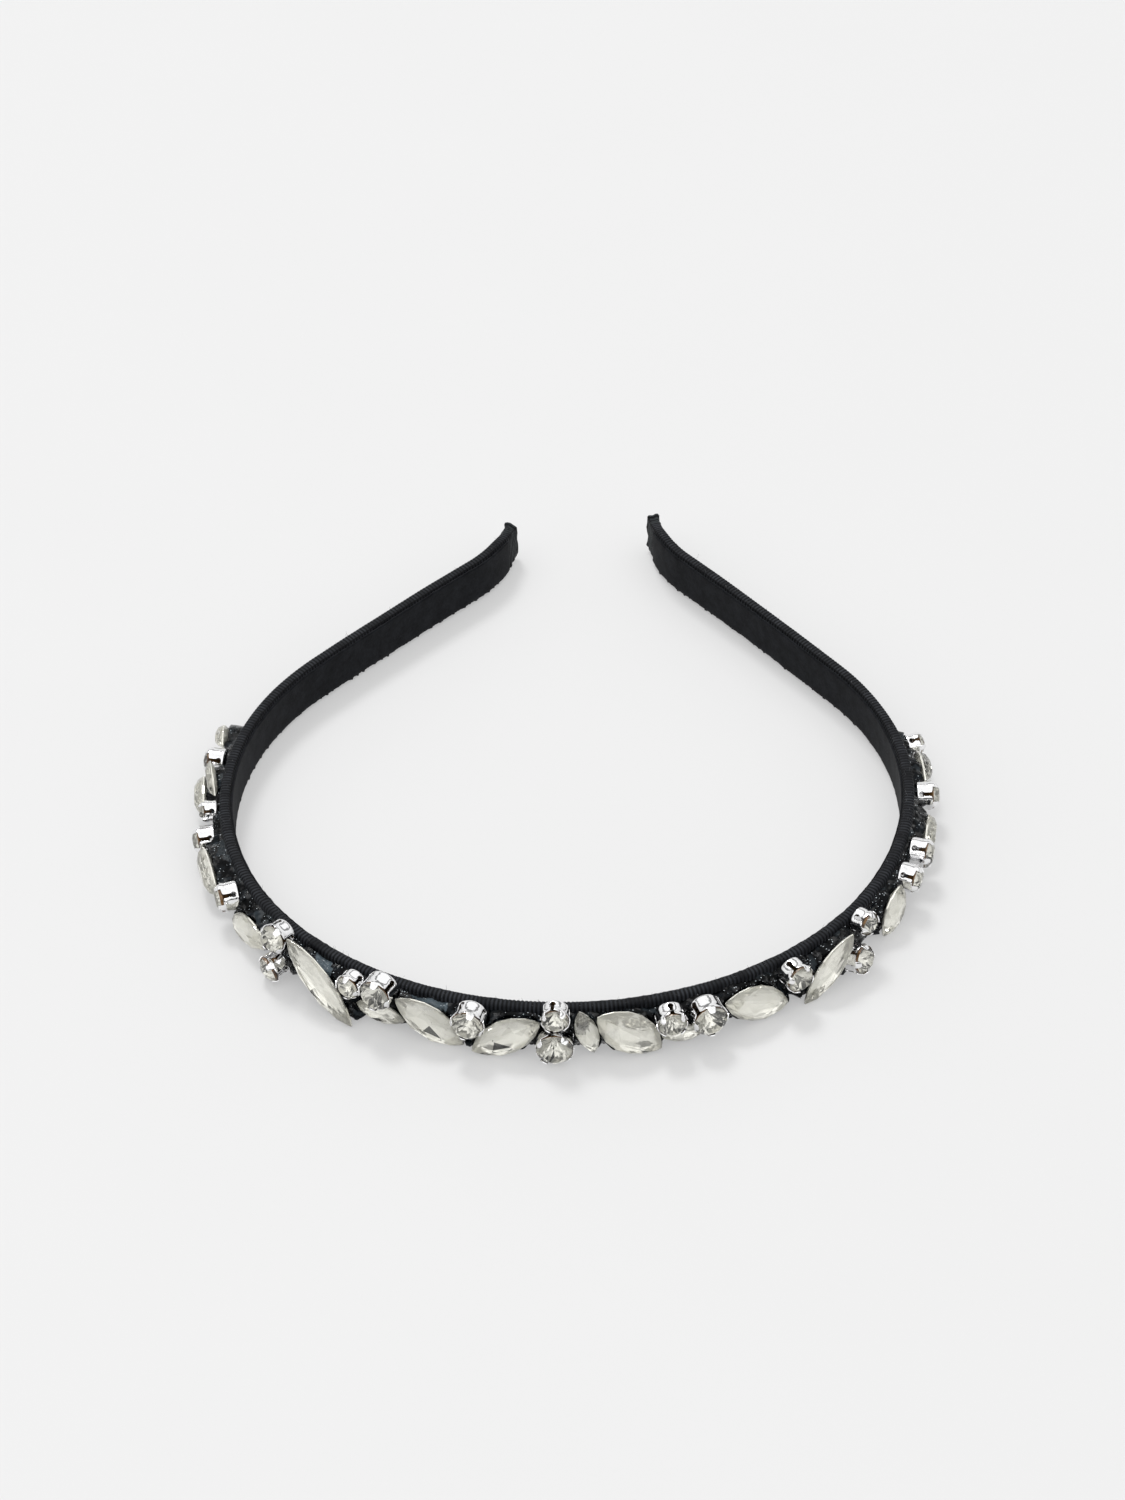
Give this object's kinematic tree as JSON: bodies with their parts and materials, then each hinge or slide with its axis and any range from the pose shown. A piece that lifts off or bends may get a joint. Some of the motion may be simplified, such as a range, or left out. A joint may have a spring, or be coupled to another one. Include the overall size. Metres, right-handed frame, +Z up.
{
  "type": "rhinestone headband",
  "caption": "Flat ribbon-covered headband with a lined inner face and a glued row of cut stones, some in metal claw cups, that grips the head by its spring.",
  "frame": {"origin": "middle of the whole footprint, on the surface that the lower rim lies on", "axes": "+Z up out of the surface, across the band's width; +Y from the curved front with the stones towards the two tips; +X to the right, seen from the front"},
  "size_m": [0.1418, 0.1536, 0.0124],
  "materials": {
    "ribbon": "matte",
    "lining": "matte",
    "glue": "gloss",
    "stone": "polished",
    "claw_cup": "polished"
  },
  "bodies": {
    "root": {"band": "ribbon", "lining": "lining", "glue_strip": "glue", "round_01": "stone", "round_02": "stone", "round_03": "stone", "round_04": "stone", "round_05": "stone", "round_06": "stone", "round_07": "stone", "round_08": "stone", "round_09": "stone", "round_10": "stone", "round_11": "stone", "round_12": "stone", "round_13": "stone", "round_14": "stone", "round_15": "stone", "round_16": "stone", "round_17": "stone", "round_18": "stone", "round_19": "stone", "round_20": "stone", "cup_01": "claw_cup", "cup_02": "claw_cup", "cup_03": "claw_cup", "cup_04": "claw_cup", "cup_05": "claw_cup", "cup_06": "claw_cup", "cup_07": "claw_cup", "cup_08": "claw_cup", "cup_09": "claw_cup", "cup_10": "claw_cup", "cup_11": "claw_cup", "cup_12": "claw_cup", "cup_13": "claw_cup", "cup_14": "claw_cup", "cup_15": "claw_cup", "cup_16": "claw_cup", "cup_17": "claw_cup", "cup_18": "claw_cup", "cup_19": "claw_cup", "cup_20": "claw_cup", "navette_01": "stone", "navette_02": "stone", "navette_03": "stone", "navette_04": "stone", "navette_05": "stone", "navette_06": "stone", "navette_07": "stone", "navette_08": "stone", "navette_09": "stone", "navette_10": "stone", "navette_11": "stone", "navette_12": "stone", "navette_13": "stone", "navette_14": "stone", "navette_15": "stone", "navette_16": "stone", "navette_17": "stone"}
  },
  "joints": []
}
